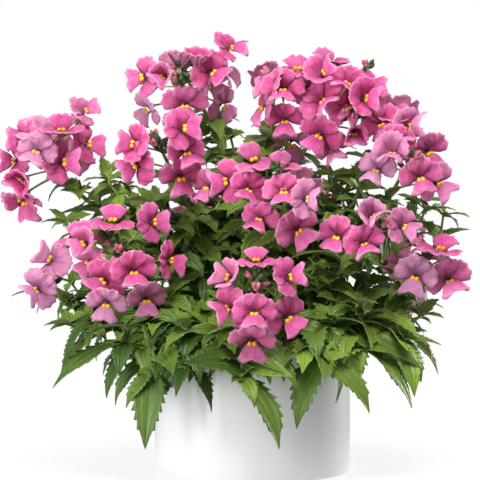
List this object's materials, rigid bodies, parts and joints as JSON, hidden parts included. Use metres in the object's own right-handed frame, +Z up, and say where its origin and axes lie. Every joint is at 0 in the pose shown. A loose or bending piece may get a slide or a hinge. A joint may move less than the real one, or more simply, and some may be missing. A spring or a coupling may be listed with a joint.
{
  "type": "potted nemesia",
  "caption": "Flowering nemesia in a plain white cylindrical pot, with leafy stems, loose heads of two-lipped blooms and toothed leaves hanging over the rim.",
  "frame": {"origin": "centre of the pot's flat base, on the surface that it stands on", "axes": "+Z up along the pot's axis; -Y is the side that faces the viewer; +X is the viewer's right"},
  "size_m": [0.2656, 0.1927, 0.2456],
  "materials": {
    "pot_glaze": "plain white satin glaze",
    "peat": "dark crumbly peat",
    "foliage": "toothed leaves with a soft sheen",
    "petals": "soft matt petals"
  },
  "bodies": {
    "root": {"pot": "pot_glaze", "soil": "peat", "stem_01": "foliage", "stem_02": "foliage", "stem_03": "foliage", "stem_04": "foliage", "stem_05": "foliage", "stem_06": "foliage", "stem_07": "foliage", "stem_08": "foliage", "stem_09": "foliage", "stem_10": "foliage", "stem_11": "foliage", "stem_12": "foliage", "stem_13": "foliage", "stem_14": "foliage", "stem_15": "foliage", "stem_16": "foliage", "stem_17": "foliage", "stem_18": "foliage", "stem_19": "foliage", "shoot_01": "foliage", "shoot_02": "foliage", "shoot_03": "foliage", "shoot_04": "foliage", "shoot_05": "foliage", "shoot_06": "foliage", "shoot_07": "foliage", "shoot_08": "foliage", "shoot_09": "foliage", "shoot_10": "foliage", "shoot_11": "foliage", "shoot_12": "foliage", "head_01": "petals", "head_02": "petals", "head_03": "petals", "head_04": "petals", "head_05": "petals", "head_06": "petals", "head_07": "petals", "head_08": "petals", "head_09": "petals", "head_10": "petals", "head_11": "petals", "head_12": "petals", "head_13": "petals", "head_14": "petals", "head_15": "petals", "head_16": "petals", "head_17": "petals", "head_18": "petals", "head_19": "petals"}
  },
  "joints": []
}
